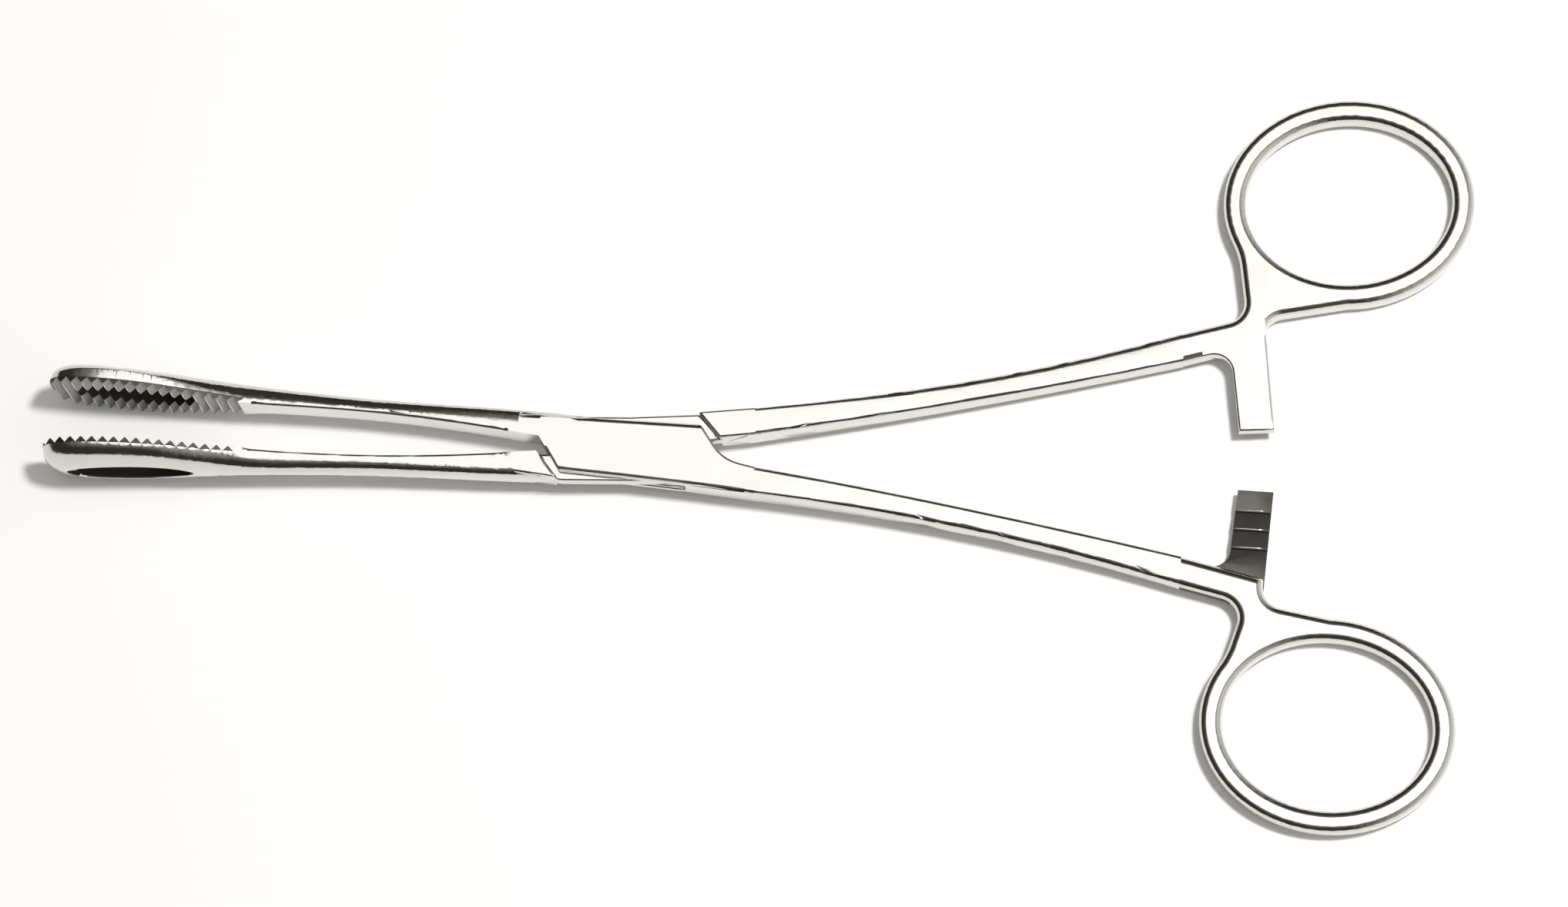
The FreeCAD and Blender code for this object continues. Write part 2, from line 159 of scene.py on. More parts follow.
# Lamp and camera
LAMP_PLACE = Vector((0.21, 0.045, 0.66))
LAMP_AIM = Vector((0.03, 0.0, 0.0))
VIEW_MIDDLE = Vector((18.2, 1.0, -2.4)) * MM
SENSOR_WIDTH = 36.0
PICTURE_WIDTH = 2036.0
CLIP_START = 0.01


class SteelSettings(bpy.types.PropertyGroup):
    polish_color: bpy.props.FloatVectorProperty(
        name="Polished Steel",
        description="Colour of the polished faces",
        subtype="COLOR",
        size=3,
        min=0.0,
        max=1.0,
        default=(0.66, 0.645, 0.615),
    )
    satin_color: bpy.props.FloatVectorProperty(
        name="Satin Steel",
        description="Colour of the jaws' serrations",
        subtype="COLOR",
        size=3,
        min=0.0,
        max=1.0,
        default=(0.30, 0.295, 0.28),
    )
    # Painted shade: a dark steel colour that stands in for the dark room reflected in the
    # ratchet's faces and for the shade on the teeth's ends and in the slots
    painted_shade_color: bpy.props.FloatVectorProperty(
        name="Painted Shade Steel",
        description="Colour of the ratchet's faces and of the walls of the jaws' slots",
        subtype="COLOR",
        size=3,
        min=0.0,
        max=1.0,
        default=(0.055, 0.051, 0.045),
    )
    polish_roughness: bpy.props.FloatProperty(
        name="Polish Roughness",
        description="Roughness of the smoothest patches of the polish",
        subtype="FACTOR",
        min=0.0,
        max=1.0,
        default=0.08,
    )
    worn_roughness: bpy.props.FloatProperty(
        name="Worn Roughness",
        description="Roughness of the dullest patches of the polish",
        subtype="FACTOR",
        min=0.0,
        max=1.0,
        default=0.16,
    )
    edge_radius: bpy.props.FloatProperty(
        name="Edge Radius",
        description="Rounding that polishing leaves on the long edges",
        subtype="DISTANCE",
        min=0.0,
        default=0.3 * MM,
    )
    edge_angle: bpy.props.FloatProperty(
        name="Edge Angle",
        description="Edges turning more than this are rounded",
        subtype="ANGLE",
        default=math.radians(32),
    )


class ToothSettings(bpy.types.PropertyGroup):
    crest_radius: bpy.props.FloatProperty(
        name="Crest Radius",
        description="Half the width of the burnished line on each tooth",
        subtype="DISTANCE",
        min=0.0,
        default=0.11 * MM,
    )
    jaw_pitch: bpy.props.FloatProperty(
        name="Jaw Tooth Pitch",
        description="Distance from one jaw tooth to the next",
        subtype="DISTANCE",
        default=1.32 * MM,
    )
    jaw_teeth: bpy.props.IntProperty(
        name="Jaw Teeth",
        description="Teeth across each jaw",
        min=1,
        default=17,
    )
    ratchet_teeth: bpy.props.IntProperty(
        name="Ratchet Teeth",
        description="Teeth on each ratchet arm",
        min=1,
        default=3,
    )
    ratchet_pitch: bpy.props.FloatProperty(
        name="Ratchet Pitch",
        description="Distance from one ratchet tooth to the next",
        subtype="DISTANCE",
        default=2.25 * MM,
    )


class StageSettings(bpy.types.PropertyGroup):
    table_color: bpy.props.FloatVectorProperty(
        name="Table",
        description="Colour of the table",
        subtype="COLOR",
        size=3,
        min=0.0,
        max=1.0,
        default=(0.87, 0.862, 0.845),
    )
    table_seen: bpy.props.FloatProperty(
        name="Table Whiteness",
        description="How far the table looks plain white to the camera",
        subtype="FACTOR",
        min=0.0,
        max=1.0,
        default=0.04,
    )
    table_mirrored: bpy.props.FloatProperty(
        name="Table Whiteness in the Steel",
        description="How far the table looks plain white in the polished steel",
        subtype="FACTOR",
        min=0.0,
        max=1.0,
        default=0.02,
    )
    room_strength: bpy.props.FloatProperty(
        name="Room Strength",
        description="Strength of the light from the studio room",
        min=0.0,
        default=1.5,
    )
    lamp_power: bpy.props.FloatProperty(
        name="Lamp Power",
        description="Power of the lamp",
        unit="POWER",
        min=0.0,
        default=4.0,
    )
    lamp_size: bpy.props.FloatProperty(
        name="Lamp Size",
        description="Diameter of the lamp",
        subtype="DISTANCE",
        min=0.0,
        default=0.08,
    )
    camera_distance: bpy.props.FloatProperty(
        name="Camera Distance",
        description="From the camera to the middle of the view",
        subtype="DISTANCE",
        default=0.65,
    )
    camera_tilt: bpy.props.FloatProperty(
        name="Camera Tilt",
        description="Angle between the view and straight down",
        subtype="ANGLE",
        default=math.radians(14.0),
    )
    camera_azimuth: bpy.props.FloatProperty(
        name="Camera Azimuth",
        description="Direction that the camera leans toward, from +X toward +Y",
        subtype="ANGLE",
        default=math.radians(-73.7),
    )
    camera_roll: bpy.props.FloatProperty(
        name="Camera Roll",
        description="Turn of the camera about its own view",
        subtype="ANGLE",
        default=math.radians(4.24),
    )
    focal_pixels: bpy.props.FloatProperty(
        name="Focal Length in Pixels",
        description="Focal length for a picture 2036 pixels wide",
        default=7093.0,
    )


def settings(name):
    """One of the forceps' property groups."""
    return getattr(bpy.context.scene, name)


def add_object(name, data):
    """New object in the scene."""
    thing = bpy.data.objects.new(name, data)
    bpy.context.scene.collection.objects.link(thing)
    return thing


def plain_mesh(thing):
    """Mesh of an object with its modifiers applied."""
    graph = bpy.context.evaluated_depsgraph_get()
    return bpy.data.meshes.new_from_object(thing.evaluated_get(graph))


def new_material(name):
    """Empty material with one Principled shader on its surface."""
    material = bpy.data.materials.new(name)
    material.use_nodes = True
    tree = material.node_tree
    tree.nodes.clear()
    output = tree.nodes.new("ShaderNodeOutputMaterial")
    shader = tree.nodes.new("ShaderNodeBsdfPrincipled")
    tree.links.new(shader.outputs["BSDF"], output.inputs["Surface"])
    return material, tree, shader


def object_noise(tree, scale, stretch, detail):
    """Noise on Object coordinates, in features per metre, drawn out along X."""
    place = tree.nodes.new("ShaderNodeTexCoord")
    mapping = tree.nodes.new("ShaderNodeMapping")
    mapping.inputs["Scale"].default_value = (1.0 / stretch, 1.0, 1.0)
    noise = tree.nodes.new("ShaderNodeTexNoise")
    noise.inputs["Scale"].default_value = scale
    noise.inputs["Detail"].default_value = detail
    tree.links.new(place.outputs["Object"], mapping.inputs["Vector"])
    tree.links.new(mapping.outputs["Vector"], noise.inputs["Vector"])
    return noise.outputs["Fac"]


def ranged(tree, value, low, high, start=0.35, end=0.65):
    """A value's stretch from start to end, spread from low to high."""
    node = tree.nodes.new("ShaderNodeMapRange")
    node.inputs["From Min"].default_value = start
    node.inputs["From Max"].default_value = end
    node.inputs["To Min"].default_value = low
    node.inputs["To Max"].default_value = high
    tree.links.new(value, node.inputs["Value"])
    return node.outputs["Result"]


def mixed_color(tree, value, first, second):
    """From the first colour at 0 to the second at 1."""
    node = tree.nodes.new("ShaderNodeMix")
    node.data_type = "RGBA"
    node.inputs["A"].default_value = (*first, 1.0)
    node.inputs["B"].default_value = (*second, 1.0)
    tree.links.new(value, node.inputs["Factor"])
    return node.outputs["Result"]


def steel_material(name, color, roughness, grain):
    """Stainless steel: uneven polish, faint handling marks, fine lines left by the wheel."""
    if name in bpy.data.materials:
        return bpy.data.materials[name]
    material, tree, shader = new_material(name)
    shader.inputs["Metallic"].default_value = 1.0
    patches = object_noise(tree, **PATCHES)
    tree.links.new(ranged(tree, patches, *roughness), shader.inputs["Roughness"])
    marks = ranged(tree, object_noise(tree, **MARKS), 0.0, 1.0, *MARK_RANGE)
    handled = tuple(channel * HANDLED_SHADE for channel in color)
    tree.links.new(mixed_color(tree, marks, color, handled), shader.inputs["Base Color"])
    grain_depth, grain_scale = grain
    bump = tree.nodes.new("ShaderNodeBump")
    bump.inputs["Strength"].default_value = GRAIN_STRENGTH
    bump.inputs["Distance"].default_value = grain_depth
    lines = object_noise(tree, grain_scale, GRAIN_STRETCH, GRAIN_DETAIL)
    tree.links.new(lines, bump.inputs["Height"])
    tree.links.new(bump.outputs["Normal"], shader.inputs["Normal"])
    return material


def polished_steel():
    """Finish of the faces, flanks and crests."""
    steel = settings("forceps_steel")
    roughness = (steel.polish_roughness, steel.worn_roughness)
    return steel_material("Polished Steel", steel.polish_color, roughness, POLISH_GRAIN)


def satin_steel():
    """Finish of the serrations."""
    color = settings("forceps_steel").satin_color
    return steel_material("Satin Steel", color, SATIN_ROUGHNESS, SATIN_GRAIN)


def painted_shade_steel():
    """Steel painted dark as shade on the ratchet's faces, the teeth's ends and the slots' walls:
    painted dark reflections and shade, not a finish.
    """
    color = settings("forceps_steel").painted_shade_color
    return steel_material("Painted Shade Steel", color, PAINTED_SHADE_ROUGHNESS, PAINTED_SHADE_GRAIN)


def split_at(edge, places):
    """Split an edge at places along it, which lie on it or a hair beside it."""
    first = edge.verts[0]
    run = edge.verts[1].co - first.co
    steps = [((place - first.co).dot(run) / run.length_squared, place) for place in places]
    whole = 1.0
    for step, place in sorted(steps, key=lambda item: -item[0]):
        other, corner = bmesh.utils.edge_split(edge, first, step / whole)
        corner.co = place
        edge = edge if first in edge.verts else other
        whole = step


def join_seams(work):
    """Join faces along edges that only one of the two faces splits."""
    rims = [edge for edge in work.edges if len(edge.link_faces) == 1]
    corners = list(dict.fromkeys(vertex for edge in rims for vertex in edge.verts))
    places = [corner.co.copy() for corner in corners]
    for edge in rims:
        first, last = (vertex.co.copy() for vertex in edge.verts)
        run = last - first
        inside = []
        for place in places:
            step = (place - first).dot(run) / run.length_squared
            between = SEAM_GAP < step * run.length < run.length - SEAM_GAP
            if between and (first + run * step - place).length < SEAM_GAP:
                inside.append(place)
        split_at(edge, inside)
    bmesh.ops.remove_doubles(work, verts=work.verts, dist=MERGE_GAP)


def merged_copy(node, name):
    """Copy of a CAD node with its loose triangles joined and its imported normals dropped."""
    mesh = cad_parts[node].data.copy()
    mesh.name = name
    work = bmesh.new()
    work.from_mesh(mesh)
    bmesh.ops.remove_doubles(work, verts=work.verts, dist=MERGE_GAP)
    join_seams(work)
    work.to_mesh(mesh)
    work.free()
    for layer_name in ("custom_normal", "sharp_edge", "sharp_face"):
        layer = mesh.attributes.get(layer_name)
        if layer:
            mesh.attributes.remove(layer)
    return add_object(name, mesh)


def on_teeth(point):
    """True on the gripping side of a jaw."""
    return point.x < TOOTH_ROW_START + TOOTH_ROW_MARGIN and abs(point.y) < TOOTH_ROW_REACH


def on_pin_rim(point):
    """True on the pin and the rim of its hole."""
    return point.xy.length < PIN_RIM


def on_ratchet(point):
    """True on the faces with which the ratchet arms pass each other."""
    level = abs(point.z - MID_PLANE) < ARM_HALF_THICKNESS
    beside = abs(point.x - ARM_MIDDLE) < ARM_HALF_SPAN
    return level and beside and abs(point.y) < ARM_REACH


def on_seam(points):
    """True for an edge across a limb where its drawn stretches meet, which shows no edge."""
    run = points[1] - points[0]
    across = abs(run.x) < SEAM_SLANT * run.length
    return across and any(all(low < p.x < high for p in points) for low, high in SEAMS)


def long_edges(work, angle):
    """Edges that polishing rounds; teeth, nose, ratchet and the pin's rim stay crisp."""
    chosen = []
    for edge in work.edges:
        if len(edge.link_faces) != 2 or edge.calc_face_angle(0.0) < angle:
            continue
        points = [vertex.co for vertex in edge.verts]
        crisp = any(
            on_teeth(p) or on_pin_rim(p) or on_ratchet(p) or p.x < NOSE_START for p in points
        )
        if not crisp and not on_seam(points):
            chosen.append(edge)
    return chosen


def stray_ends(work, surface):
    """Ends of edges that cut across a hollow or a bulge instead of following the surface."""
    ends = []
    for edge in work.edges:
        first, last = (vertex.co for vertex in edge.verts)
        if (last - first).length < 2 * STRAY_GAP:
            continue
        away = max(surface.find_nearest(first.lerp(last, part))[3] for part in CHECKED_PARTS)
        if away > STRAY_GAP:
            ends += [first.copy(), last.copy()]
    return ends


def point_tree(points):
    """Search tree of points."""
    tree = KDTree(len(points))
    for number, point in enumerate(points):
        tree.insert(point, number)
    tree.balance()
    return tree


def is_near(edge, tree):
    """True for an edge that ends close to a point of the tree."""
    distances = [tree.find(vertex.co)[2] for vertex in edge.verts]
    return any(distance is not None and distance < CRISP_REACH for distance in distances)


def bevelled_copy(forged, steel, crisp_places):
    """Copy with its long edges rounded, apart from those near the places that stay crisp."""
    work = forged.copy()
    tree = point_tree(crisp_places)
    bmesh.ops.bevel(
        work,
        geom=[edge for edge in long_edges(work, steel.edge_angle) if not is_near(edge, tree)],
        offset=steel.edge_radius,
        offset_type="OFFSET",
        segments=ROUNDING_STEPS,
        profile=0.5,
        affect="EDGES",
        clamp_overlap=False,
    )
    return work


def round_edges(piece, steel):
    """Round the long edges as polishing does, and leave out those where rounding goes astray."""
    forged = bmesh.new()
    forged.from_mesh(piece.data)
    surface = BVHTree.FromBMesh(forged)
    bmesh.ops.dissolve_limit(
        forged, angle_limit=FLAT_ANGLE, verts=forged.verts, edges=forged.edges
    )
    for edge in long_edges(forged, steel.edge_angle):
        first, last = (vertex.co.copy() for vertex in edge.verts)
        parts = int((last - first).length / EDGE_STEP)
        split_at(edge, [first.lerp(last, part / parts) for part in range(1, parts)])
    crisp_places = []
    work = bevelled_copy(forged, steel, crisp_places)
    for attempt in range(ROUNDING_TRIES - 1):
        strays = stray_ends(work, surface)
        if not strays:
            break
        crisp_places += strays
        work.free()
        work = bevelled_copy(forged, steel, crisp_places)
    for vertex in work.verts:
        nearest, normal, face, distance = surface.find_nearest(vertex.co)
        if (vertex.co - nearest).dot(normal) > SURFACE_PLAY:
            vertex.co = nearest
    work.to_mesh(piece.data)
    work.free()
    forged.free()


def shade(piece, angle):
    """Smooth shading that keeps flat faces flat and edges steeper than the angle crisp."""
    for polygon in piece.data.polygons:
        polygon.use_smooth = True
    piece.data.set_sharp_from_angle(angle=angle)
    weigh = piece.modifiers.new("weighted_normals", "WEIGHTED_NORMAL")
    weigh.keep_sharp = True
    settled = plain_mesh(piece)
    piece.modifiers.clear()
    piece.data = settled


def at_rest(turn, turned_over):
    """From the drawing position of a jaw or an arm to its place at rest."""
    place = Matrix.Translation((0, 0, MID_PLANE)) @ Matrix.Rotation(turn, 4, "Z")
    return place @ Matrix.Rotation(math.pi, 4, "X") if turned_over else place


def jaw_place(side):
    """Place of a half's jaw: side 1 is the box half, -1 the tongue half."""
    return at_rest(-side * REST_TURN, side < 0)


def arm_place(side):
    """Place of a half's ratchet arm, which is drawn with its teeth facing down."""
    return at_rest(HANDLE_LEAN - side * REST_TURN, side > 0)


def crest_slope():
    """Rise of the line of the tooth crests, per metre behind the nose."""
    return CREST_RISE / (TOOTH_ROW_START - JAW_TIP)


def crest_line(x):
    """Where the tooth crests lie, past the closing line at the nose and short of it behind."""
    return NOSE_CREST + crest_slope() * (x - JAW_TIP)


def in_slot(middle, normal):
    """True on the walls of the jaw's slot, in the jaw's drawing frame."""
    along = (middle.x - SLOT_MIDDLE) / SLOT_HALF_LENGTH
    up = middle.z / SLOT_HALF_WIDTH
    return abs(normal.y) < SLOT_WALL_TILT and along * along + up * up < SLOT_REACH


def split_along_grooves(work, place):
    """Cut the jaw's faces at the depth of the grooves, so that the teeth can have their finish
    and their ends painted shade.
    """
    foot = Vector((JAW_TIP, NOSE_CREST + TOOTH_DEPTH, 0))
    faces = [face for face in work.faces if face.calc_center_median().x < TOOTH_ROW_START]
    edges = dict.fromkeys(edge for face in faces for edge in face.edges)
    corners = dict.fromkeys(vertex for face in faces for vertex in face.verts)
    bmesh.ops.bisect_plane(
        work,
        geom=[*corners, *edges, *faces],
        dist=SURFACE_PLAY,
        plane_co=place @ foot,
        plane_no=place.to_3x3() @ Vector((-crest_slope(), 1, 0)).normalized(),
    )


def finish_and_paint_shade(piece, side):
    """Give the teeth their satin finish, and paint shade in dark steel on the teeth's ends, the
    slot's walls and the ratchet's faces.
    """
    place = jaw_place(side)
    back = place.inverted()
    work = bmesh.new()
    work.from_mesh(piece.data)
    split_along_grooves(work, place)
    for face in work.faces:
        middle = back @ face.calc_center_median()
        normal = back.to_3x3() @ face.normal
        toothed = middle.x < TOOTH_ROW_START and middle.y < crest_line(middle.x) + TOOTH_DEPTH
        tooth_end = toothed and abs(normal.z) > TOOTH_END_TILT
        # Teeth's ends, slot walls and ratchet faces get steel painted dark as shade
        if on_ratchet(face.calc_center_median()) or tooth_end or in_slot(middle, normal):
            face.material_index = PAINTED_SHADE
        elif toothed:
            face.material_index = GRIPPING
    work.to_mesh(piece.data)
    work.free()


def dress(node, name, body, side=0):
    """Finished steel piece in the place of a CAD node; a side marks a half with its jaw."""
    steel = settings("forceps_steel")
    piece = merged_copy(node, name)
    piece.data.materials.clear()
    piece.data.materials.append(polished_steel())
    round_edges(piece, steel)
    if side:
        piece.data.materials.append(satin_steel())
        # Third slot: steel painted dark as shade
        piece.data.materials.append(painted_shade_steel())
        finish_and_paint_shade(piece, side)
    shade(piece, steel.edge_angle)
    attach(piece, body)
    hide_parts(node)
    return piece


class FORCEPS_OT_box_half(bpy.types.Operator):
    """Polish the half whose plates form the box of the lock, and the pin ground flush in it"""

    bl_idname = "forceps.box_half"
    bl_label = "Box Half"

    def execute(self, context):
        dress("box_half", "box_half_steel", BOX_BODY, side=1)
        dress("pivot_pin", "pivot_pin_steel", BOX_BODY)
        return {"FINISHED"}


class FORCEPS_OT_tongue_half(bpy.types.Operator):
    """Polish the half whose neck passes through the box"""

    bl_idname = "forceps.tongue_half"
    bl_label = "Tongue Half"

    def execute(self, context):
        dress("tongue_half", "tongue_half_steel", TONGUE_BODY, side=-1)
        return {"FINISHED"}


def slot_is_open(x):
    """True where the slot parts the teeth in two."""
    return abs(x - SLOT_MIDDLE) < SLOT_HALF_LENGTH


def jaw_bars(teeth, side):
    """Middle and length of the burnished line on each tooth, fitted to the dressed jaw."""
    place = jaw_place(side)
    name = "box_half_steel" if side > 0 else "tongue_half_steel"
    mesh = bpy.data.objects[name].data
    surface = BVHTree.FromPolygons(
        [vertex.co for vertex in mesh.vertices], [polygon.vertices for polygon in mesh.polygons]
    )

    def reach(x, y, start, way):
        """Height in the jaw's frame at which a line along the tooth meets the steel."""
        origin = place @ Vector((x, y, start))
        hit = surface.ray_cast(origin, place.to_3x3() @ Vector((0, 0, way)))[0]
        return (place.inverted() @ hit).z if hit else 0.0

    bars = []
    for number in range(1, teeth.jaw_teeth):
        x = TOOTH_ROW_START - (number + JAW_STAGGER * side) * teeth.jaw_pitch
        face = crest_line(x)
        outer = reach(x, face + CREST_DEPTH, 2 * JAW_HALF_WIDTH, -1) - CREST_MARGIN
        if not slot_is_open(x):
            bars.append((Vector((x, face, 0)), 2 * outer))
            continue
        inner = reach(x, face + CREST_DEPTH, 0.0, 1) + CREST_MARGIN
        for way in (-1, 1):
            bars.append((Vector((x, face, way * (inner + outer) / 2)), outer - inner))
    return [(middle, length) for middle, length in bars if length > CREST_MARGIN]


def ratchet_bars(teeth):
    """Middle and length of the burnished line on each ratchet tooth, teeth facing down."""
    length = ARM_WIDTH - 2 * CREST_MARGIN
    bars = []
    for number in range(teeth.ratchet_teeth):
        y = ARM_FIRST_CREST + number * teeth.ratchet_pitch
        bars.append((Vector((ARM_MIDDLE, y, ARM_CREST_LEVEL)), length))
    return bars


def placed(bars, place, turn):
    """Bars carried to their half at rest, each with its turn about Y."""
    return [(place @ middle, length, turn) for middle, length in bars]


def bar_guide(name, placed_bars):
    """Points that carry each bar's length and turn."""
    mesh = bpy.data.meshes.new(name)
    mesh.from_pydata([middle for middle, length, turn in placed_bars], [], [])
    lengths = mesh.attributes.new("bar_length", "FLOAT", "POINT")
    turns = mesh.attributes.new("bar_turn", "FLOAT_VECTOR", "POINT")
    for number, (middle, length, turn) in enumerate(placed_bars):
        lengths.data[number].value = length
        turns.data[number].vector = (0.0, turn, 0.0)
    return add_object(name, mesh)


def crest_tree():
    """Node tree that lays one slender burnished bar on every point of a guide."""
    tree = bpy.data.node_groups.new("Crest Bars", "GeometryNodeTree")
    face = tree.interface
    face.new_socket("Geometry", in_out="INPUT", socket_type="NodeSocketGeometry")
    face.new_socket("Crest Radius", in_out="INPUT", socket_type="NodeSocketFloat")
    face.new_socket("Steel", in_out="INPUT", socket_type="NodeSocketMaterial")
    face.new_socket("Geometry", in_out="OUTPUT", socket_type="NodeSocketGeometry")
    inputs = tree.nodes.new("NodeGroupInput")
    outputs = tree.nodes.new("NodeGroupOutput")
    length = tree.nodes.new("GeometryNodeInputNamedAttribute")
    length.data_type = "FLOAT"
    length.inputs["Name"].default_value = "bar_length"
    turn = tree.nodes.new("GeometryNodeInputNamedAttribute")
    turn.data_type = "FLOAT_VECTOR"
    turn.inputs["Name"].default_value = "bar_turn"
    rotation = tree.nodes.new("FunctionNodeEulerToRotation")
    half = tree.nodes.new("ShaderNodeMath")
    half.operation = "MULTIPLY"
    half.inputs[1].default_value = 0.5
    size = tree.nodes.new("ShaderNodeCombineXYZ")
    bar = tree.nodes.new("GeometryNodeMeshUVSphere")
    bar.inputs["Segments"].default_value = BAR_SEGMENTS
    bar.inputs["Rings"].default_value = BAR_RINGS
    bar.inputs["Radius"].default_value = 1.0
    lay = tree.nodes.new("GeometryNodeInstanceOnPoints")
    realize = tree.nodes.new("GeometryNodeRealizeInstances")
    smooth = tree.nodes.new("GeometryNodeSetShadeSmooth")
    steel = tree.nodes.new("GeometryNodeSetMaterial")
    link = tree.links.new
    link(inputs.outputs["Geometry"], lay.inputs["Points"])
    link(bar.outputs["Mesh"], lay.inputs["Instance"])
    link(turn.outputs["Attribute"], rotation.inputs["Euler"])
    link(rotation.outputs["Rotation"], lay.inputs["Rotation"])
    link(length.outputs["Attribute"], half.inputs[0])
    link(inputs.outputs["Crest Radius"], size.inputs["X"])
    link(inputs.outputs["Crest Radius"], size.inputs["Y"])
    link(half.outputs["Value"], size.inputs["Z"])
    link(size.outputs["Vector"], lay.inputs["Scale"])
    link(lay.outputs["Instances"], realize.inputs["Geometry"])
    link(realize.outputs["Geometry"], smooth.inputs["Geometry"])
    link(smooth.outputs["Geometry"], steel.inputs["Geometry"])
    link(inputs.outputs["Steel"], steel.inputs["Material"])
    link(steel.outputs["Geometry"], outputs.inputs["Geometry"])
    return tree


def set_input(modifier, name, value):
    """Set a node tree's input on the modifier by the socket's identifier."""
    for item in modifier.node_group.interface.items_tree:
        if item.item_type == "SOCKET" and item.in_out == "INPUT" and item.name == name:
            modifier[item.identifier] = value


def lay_crests(name, bars, body):
    """Burnished bars of one half, made by the node tree and kept as one plain mesh."""
    teeth = settings("forceps_teeth")
    guide = bar_guide(name + "_guide", bars)
    tree = bpy.data.node_groups.get("Crest Bars") or crest_tree()
    modifier = guide.modifiers.new("crests", "NODES")
    modifier.node_group = tree
    set_input(modifier, "Crest Radius", teeth.crest_radius)
    set_input(modifier, "Steel", polished_steel())
    bpy.context.view_layer.update()
    mesh = plain_mesh(guide)
    mesh.name = name
    bpy.data.objects.remove(guide)
    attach(add_object(name, mesh), body)


class FORCEPS_OT_crests(bpy.types.Operator):
    """Burnish the crests of the jaws' serrations and of the ratchet's teeth"""

    bl_idname = "forceps.crests"
    bl_label = "Tooth Crests"

    def execute(self, context):
        teeth = settings("forceps_teeth")
        for name, body, side in (
            ("box_half_crests", BOX_BODY, 1),
            ("tongue_half_crests", TONGUE_BODY, -1),
        ):
            bars = placed(jaw_bars(teeth, side), jaw_place(side), 0.0)
            bars += placed(ratchet_bars(teeth), arm_place(side), math.pi / 2)
            lay_crests(name, bars, body)
        return {"FINISHED"}


def camera_axes(tilt, azimuth, roll):
    """Back, right and up directions of the camera in the row frame."""
    back = Vector(
        (math.sin(tilt) * math.cos(azimuth), math.sin(tilt) * math.sin(azimuth), math.cos(tilt))
    )
    right = Vector((0, 1, 0)).cross(back).normalized()
    up = back.cross(right)
    turned_right = right * math.cos(roll) + up * math.sin(roll)
    turned_up = up * math.cos(roll) - right * math.sin(roll)
    return back, turned_right, turned_up


def add_camera(stage):
    """Camera that looks down at the forceps as the photograph does."""
    back, right, up = camera_axes(stage.camera_tilt, stage.camera_azimuth, stage.camera_roll)
    data = bpy.data.cameras.new("Camera")
    data.sensor_width = SENSOR_WIDTH
    data.lens = stage.focal_pixels * SENSOR_WIDTH / PICTURE_WIDTH
    data.clip_start = CLIP_START
    camera = add_object("Camera", data)
    place = Matrix((right, up, back)).transposed().to_4x4()
    place.translation = VIEW_MIDDLE + back * stage.camera_distance
    camera.matrix_world = place
    bpy.context.scene.camera = camera


def seen_white(tree, stage):
    """How far a ray sees the table as plain white: the camera's rays more than the steel's."""
    path = tree.nodes.new("ShaderNodeLightPath")
    values = []
    for output, share in (
        ("Is Camera Ray", stage.table_seen),
        ("Is Glossy Ray", stage.table_mirrored),
        ("Is Transmission Ray", stage.table_seen),
    ):
        part = tree.nodes.new("ShaderNodeMath")
        part.operation = "MULTIPLY"
        part.inputs[1].default_value = share
        tree.links.new(path.outputs[output], part.inputs[0])
        values.append(part.outputs["Value"])
    total = values[0]
    for value in values[1:]:
        most = tree.nodes.new("ShaderNodeMath")
        most.operation = "MAXIMUM"
        tree.links.new(total, most.inputs[0])
        tree.links.new(value, most.inputs[1])
        total = most.outputs["Value"]
    return total


def table_material(stage):
    """Pale table, which the camera and the steel see a little whiter than it is lit."""
    material, tree, shader = new_material("Table")
    shader.inputs["Base Color"].default_value = (*stage.table_color, 1.0)
    shader.inputs["Roughness"].default_value = TABLE_ROUGHNESS
    shader.inputs["Specular IOR Level"].default_value = TABLE_SPECULAR
    white = tree.nodes.new("ShaderNodeEmission")
    white.inputs["Color"].default_value = (1.0, 1.0, 1.0, 1.0)
    white.inputs["Strength"].default_value = WHITE_STRENGTH
    mix = tree.nodes.new("ShaderNodeMixShader")
    output = next(node for node in tree.nodes if node.type == "OUTPUT_MATERIAL")
    tree.links.new(seen_white(tree, stage), mix.inputs["Fac"])
    tree.links.new(shader.outputs["BSDF"], mix.inputs[1])
    tree.links.new(white.outputs["Emission"], mix.inputs[2])
    tree.links.new(mix.outputs["Shader"], output.inputs["Surface"])
    return material


def add_table(stage):
    """Table that touches the jaws' lower rims and the finger rings."""
    slope = math.atan2(RING_FOOT.z - JAW_FOOT.z, RING_FOOT.x - JAW_FOOT.x)
    half = TABLE_HALF_LENGTH
    mesh = bpy.data.meshes.new("table")
    corners = [(-half, -half, 0), (half, -half, 0), (half, half, 0), (-half, half, 0)]
    mesh.from_pydata(corners, [], [(0, 1, 2, 3)])
    mesh.transform(Matrix.Rotation(-slope, 4, "Y"))
    mesh.transform(Matrix.Translation(JAW_FOOT - Vector((0, 0, TABLE_GAP))))
    mesh.materials.append(table_material(stage))
    add_object("table", mesh)


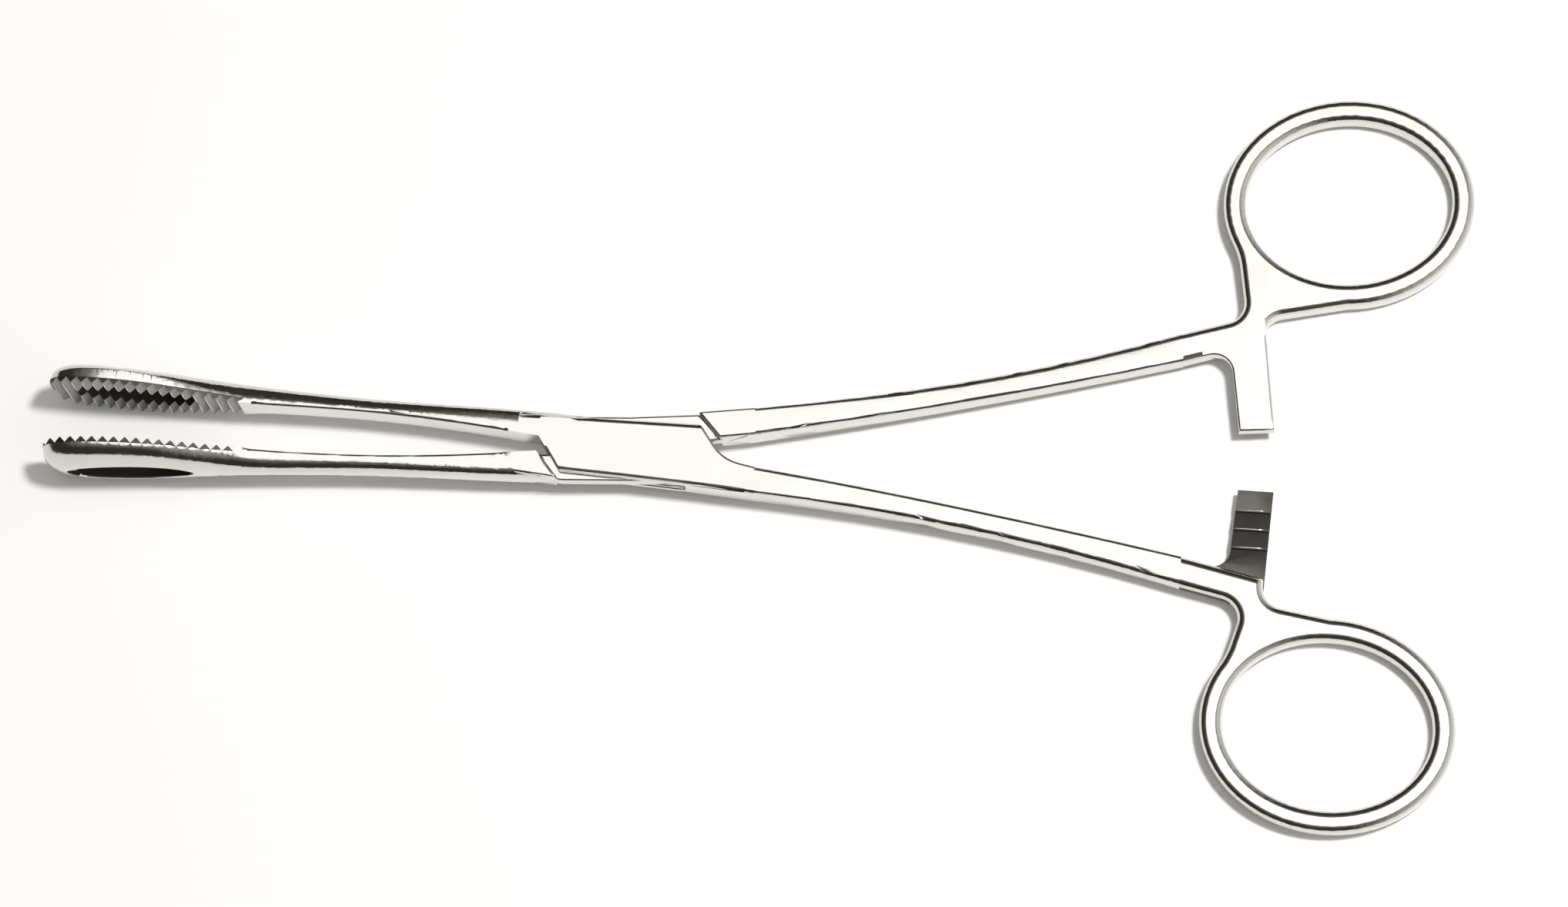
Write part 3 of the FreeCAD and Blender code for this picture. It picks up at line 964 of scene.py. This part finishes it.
def add_room(stage):
    """Studio room: a white ceiling, dark walls, and a bright window beyond the finger rings."""
    world = bpy.data.worlds.new("Studio")
    bpy.context.scene.world = world
    world.use_nodes = True
    tree = world.node_tree
    tree.nodes.clear()
    place = tree.nodes.new("ShaderNodeTexCoord")
    split = tree.nodes.new("ShaderNodeSeparateXYZ")
    ramp = tree.nodes.new("ShaderNodeValToRGB")
    background = tree.nodes.new("ShaderNodeBackground")
    output = tree.nodes.new("ShaderNodeOutputWorld")
    ramp.color_ramp.interpolation = "EASE"
    elements = ramp.color_ramp.elements
    elements[0].position = ROOM_STOPS[0][0]
    elements[1].position = ROOM_STOPS[-1][0]
    for position, color in ROOM_STOPS[1:-1]:
        elements.new(position)
    for element, stop in zip(elements, ROOM_STOPS):
        element.color = (*stop[1], 1.0)
    window = ranged(tree, split.outputs["X"], 0.0, WINDOW_SHARE, *WINDOW_RANGE)
    room = tree.nodes.new("ShaderNodeMix")
    room.data_type = "RGBA"
    room.inputs["B"].default_value = WINDOW_COLOR
    tree.links.new(place.outputs["Generated"], split.inputs["Vector"])
    tree.links.new(split.outputs["Z"], ramp.inputs["Fac"])
    tree.links.new(window, room.inputs["Factor"])
    tree.links.new(ramp.outputs["Color"], room.inputs["A"])
    tree.links.new(room.outputs["Result"], background.inputs["Color"])
    background.inputs["Strength"].default_value = stage.room_strength
    tree.links.new(background.outputs["Background"], output.inputs["Surface"])


def add_lamp(stage):
    """One small lamp high up beyond the rings, for the shadows on the table."""
    data = bpy.data.lights.new("key_lamp", "AREA")
    data.shape = "DISK"
    data.size = stage.lamp_size
    data.energy = stage.lamp_power
    lamp = add_object("key_lamp", data)
    lamp.location = LAMP_PLACE
    lamp.rotation_mode = "QUATERNION"
    lamp.rotation_quaternion = (LAMP_PLACE - LAMP_AIM).to_track_quat("Z", "Y")


class FORCEPS_OT_stage(bpy.types.Operator):
    """Set up the pale table, the studio room, the lamp and the camera"""

    bl_idname = "forceps.stage"
    bl_label = "Table, Light and Camera"

    def execute(self, context):
        stage = settings("forceps_stage")
        context.scene.view_settings.view_transform = "Standard"
        add_table(stage)
        add_room(stage)
        add_lamp(stage)
        add_camera(stage)
        return {"FINISHED"}


class FORCEPS_PT_panel(bpy.types.Panel):
    bl_label = "Grasping Forceps"
    bl_idname = "FORCEPS_PT_panel"
    bl_space_type = "VIEW_3D"
    bl_region_type = "UI"
    bl_category = "Forceps"

    def draw(self, context):
        for group in ("forceps_steel", "forceps_teeth", "forceps_stage"):
            box = self.layout.box()
            values = settings(group)
            for name in values.__annotations__:
                box.prop(values, name)
        for step in STEPS:
            self.layout.operator(step)


STEPS = ["forceps.box_half", "forceps.tongue_half", "forceps.crests", "forceps.stage"]
CLASSES = [
    SteelSettings,
    ToothSettings,
    StageSettings,
    FORCEPS_OT_box_half,
    FORCEPS_OT_tongue_half,
    FORCEPS_OT_crests,
    FORCEPS_OT_stage,
    FORCEPS_PT_panel,
]


def register():
    for cls in CLASSES:
        bpy.utils.register_class(cls)
    scene = bpy.types.Scene
    scene.forceps_steel = bpy.props.PointerProperty(type=SteelSettings)
    scene.forceps_teeth = bpy.props.PointerProperty(type=ToothSettings)
    scene.forceps_stage = bpy.props.PointerProperty(type=StageSettings)


def unregister():
    for name in ("forceps_steel", "forceps_teeth", "forceps_stage"):
        delattr(bpy.types.Scene, name)
    for cls in reversed(CLASSES):
        bpy.utils.unregister_class(cls)


def main():
    register()
    bpy.ops.forceps.box_half()
    bpy.ops.forceps.tongue_half()
    bpy.ops.forceps.crests()
    bpy.ops.forceps.stage()


if __name__ == "__main__":
    main()
